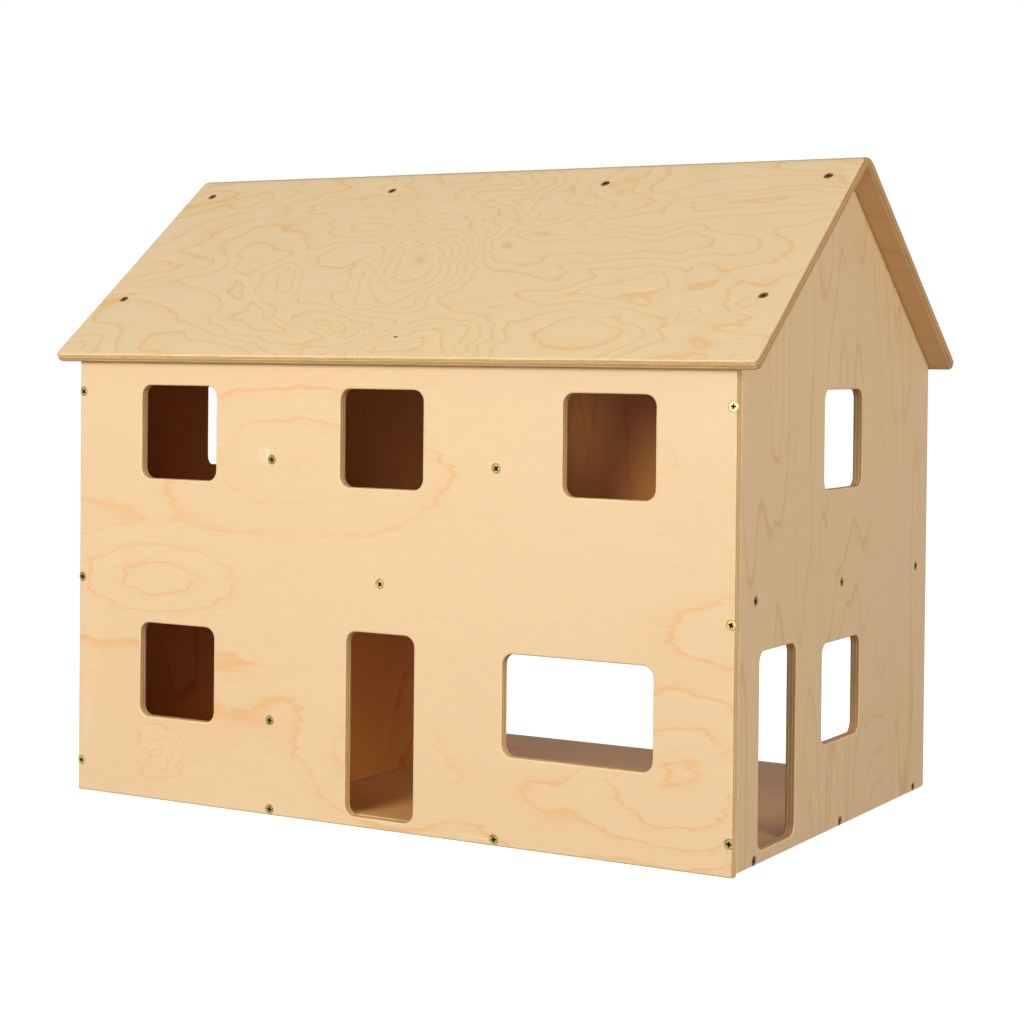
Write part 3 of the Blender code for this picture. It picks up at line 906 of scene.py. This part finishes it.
def build_partitions(edge):
    front, back = -DEPTH / 2 + PLY + GAP, DEPTH / 2
    mid_bottom = MID_FLOOR_Z - PLY / 2 - GAP
    mid_top = MID_FLOOR_Z + PLY / 2 + GAP
    end = back - LOWER_PARTITION_SET_BACK
    lower = [(front, PLY + GAP), (end, PLY + GAP), (end, mid_bottom), (front, mid_bottom)]
    upper = gable_outline(front, back, mid_top)
    for name, x, outline, changes in (
        ("lower_partition", LOWER_PARTITION_X, lower, {"seed": 61.0}),
        ("upper_left_partition", -UPPER_PARTITION_X, upper, {"seed": 67.0, **PAINTED_LIGHT_INSIDE}),
        ("upper_right_partition", UPPER_PARTITION_X, upper, {"seed": 71.0}),
    ):
        look = {**INSIDE_LOOK, **changes}
        add_panel(name, sheet(name, [outline], ARRIS), upright_frame(x),
                  birch_face(name + "_birch", look), edge)


def roof_mesh(name, side, place):
    """One slope, mitred at the ridge and rounded over there, in the frame given by place."""
    length = (DEPTH / 2 + EAVE_OVERHANG) / math.cos(SLOPE)
    middle = (length - PAST_RIDGE) / 2
    width = WIDTH + 2 * GABLE_OVERHANG
    outline = rounded_rectangle(0, middle, width, length + PAST_RIDGE, ROOF_CORNER)
    mesh = sheet(name, [outline], ROOF_ARRIS)
    edit = bmesh.new()
    edit.from_mesh(mesh)
    edit.transform(place)
    mitre = Vector((0, side * GAP / 2, RIDGE_Z))
    slice_through(edit, mitre, Vector((0, -side, 0)), remove=True)
    round_ridge(edit, side)
    edit.transform(place.inverted())
    edit.to_mesh(mesh)
    edit.free()
    return mesh


def build_roof(places):
    edge = ply_edge("birch_roof_edge", ROOF_EDGE_LOOK)
    under = birch_face("roof_lining_birch", UNDER_LOOK)
    for name, side, look in (
        ("front_roof_panel", -1, ROOF_LOOK),
        ("back_roof_panel", 1, BACK_ROOF_LOOK),
    ):
        place = roof_frame(side) @ Matrix.Translation((0, 0, -PLY / 2))
        add_panel(name, roof_mesh(name, side, place), place, birch_face(name + "_birch", look),
                  edge, holes_in(name, places), under)


def build_panels(places):
    edge = ply_edge("birch_ply_edge", EDGE_LOOK)
    inside = birch_face("inside_birch", INSIDE_LOOK)
    build_front_wall(places, edge, inside)
    build_side_walls(places, edge, inside)
    build_floors(places, edge)
    build_partitions(edge)
    build_roof(places)


def build_screws(places):
    # Painted shade for the inside of each screw's cross recess
    recess = painted_recess_shade("screw_recess")
    bright = screw_mesh(zinc("zinc_plate", BRIGHT_ZINC), recess)
    # Screws off the front wall take the darker zinc: painted shade
    brown = screw_mesh(zinc("zinc_plate_brown", SHADED_ZINC), recess)
    turns = random.Random(SCREW_TURN_SEED)
    for name, (place, board) in places.items():
        shape = bright if board == "front_wall" else brown
        piece = bpy.data.objects.new(name + "_piece", shape)
        bpy.context.scene.collection.objects.link(piece)
        piece.matrix_world = place @ Matrix.Rotation(turns.uniform(0, math.pi / 2), 4, "Z")
        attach(piece, "root")
        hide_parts(name)


# ---------------------------------------------------------------- studio
def glow_with_painted_contact_shadow(tree):
    """White glow with a painted contact shadow: a little darker within a few centimetres of the house.
    """
    beyond = []
    split = tree.nodes.new("ShaderNodeSeparateXYZ")
    tree.links.new(board_coords(tree), split.inputs[0])
    for axis, half in (("X", WIDTH / 2), ("Y", DEPTH / 2)):
        along = maths(tree, "ABSOLUTE", split.outputs[axis])
        beyond.append(maths(tree, "SUBTRACT", along, half))
    reach = maths(tree, "MAXIMUM", *beyond)
    return ramp(tree, reach, ((0.0, PAINTED_CONTACT_SHADE), (PAINTED_CONTACT_REACH, 1.0)))


def even(tree, kind, grey=1.0, strength=None):
    """A shader node of the given kind in one even grey."""
    node = tree.nodes.new(kind)
    node.inputs["Color"].default_value = (grey, grey, grey, 1.0)
    if strength is not None:
        node.inputs["Strength"].default_value = strength
    return node


def by_ray(tree, seen, reflected, other):
    """One shader for what the camera sees, one for reflections and one for all other rays."""
    path = tree.nodes.new("ShaderNodeLightPath")
    chosen = other
    for ray, shader in (("Is Glossy Ray", reflected), ("Is Camera Ray", seen)):
        pick = tree.nodes.new("ShaderNodeMixShader")
        tree.links.new(path.outputs[ray], pick.inputs[0])
        tree.links.new(chosen.outputs[0], pick.inputs[1])
        tree.links.new(shader.outputs[0], pick.inputs[2])
        chosen = pick
    return chosen.outputs[0]


def build_floor():
    bpy.ops.mesh.primitive_plane_add(size=FLOOR_SIZE, location=(0, 0, -FLOOR_DROP))
    floor = bpy.context.object
    floor.name = "studio_floor"
    made, tree, shader = new_tree("studio_floor")
    tree.nodes.remove(shader)
    # The floor's glow carries the painted contact shadow near the house
    glow = even(tree, "ShaderNodeEmission")
    tree.links.new(glow_with_painted_contact_shadow(tree), glow.inputs["Color"])
    soft = even(tree, "ShaderNodeBsdfDiffuse", FLOOR_SEEN_GREY)
    seen = tree.nodes.new("ShaderNodeAddShader")
    tree.links.new(glow.outputs[0], seen.inputs[0])
    tree.links.new(soft.outputs[0], seen.inputs[1])
    sheen = even(tree, "ShaderNodeEmission", strength=SHEEN)
    bounce = even(tree, "ShaderNodeBsdfDiffuse", FLOOR_BOUNCE_GREY)
    surface = tree.nodes["Material Output"].inputs["Surface"]
    tree.links.new(by_ray(tree, seen, sheen, bounce), surface)
    floor.data.materials.append(made)
    keep_coords(floor.data)


def build_world():
    world = bpy.data.worlds.new("studio")
    bpy.context.scene.world = world
    world.use_nodes = True
    tree = world.node_tree
    tree.nodes.remove(tree.nodes["Background"])
    seen = even(tree, "ShaderNodeBackground", strength=1.0)
    sheen = even(tree, "ShaderNodeBackground", strength=SHEEN)
    ambient = even(tree, "ShaderNodeBackground", strength=AMBIENT)
    surface = tree.nodes["World Output"].inputs["Surface"]
    tree.links.new(by_ray(tree, seen, sheen, ambient), surface)


def add_light(name, location, target, size, power):
    data = bpy.data.lights.new(name, "AREA")
    data.shape = "DISK"
    data.size = size
    data.energy = power
    lamp = bpy.data.objects.new(name, data)
    bpy.context.scene.collection.objects.link(lamp)
    lamp.location = location
    aim = Vector(target) - Vector(location)
    lamp.rotation_euler = aim.to_track_quat("-Z", "Y").to_euler()


def build_camera():
    yaw, pitch, roll = CAMERA_YAW, CAMERA_PITCH, CAMERA_ROLL
    ahead = Vector((-math.sin(yaw) * math.cos(pitch), math.cos(yaw) * math.cos(pitch),
                    -math.sin(pitch)))
    right = Vector((math.cos(yaw), math.sin(yaw), 0.0))
    up = right.cross(ahead)
    turned_right = math.cos(roll) * right + math.sin(roll) * up
    turned_up = math.cos(roll) * up - math.sin(roll) * right
    data = bpy.data.cameras.new("camera")
    data.sensor_width = SENSOR_WIDTH
    data.lens = LENS
    data.shift_y = SHIFT_Y
    data.clip_end = CLIP_END
    camera = bpy.data.objects.new("camera", data)
    bpy.context.scene.collection.objects.link(camera)
    camera.matrix_world = frame_matrix(turned_right, turned_up, -ahead, CAMERA_AT)
    bpy.context.scene.camera = camera


def build():
    bpy.context.scene.view_settings.view_transform = "Standard"
    build_camera()
    build_world()
    for light in LIGHTS:
        add_light(*light)
    build_floor()
    places = screw_places()
    build_panels(places)
    build_screws(places)


build()
bpy.context.view_layer.update()
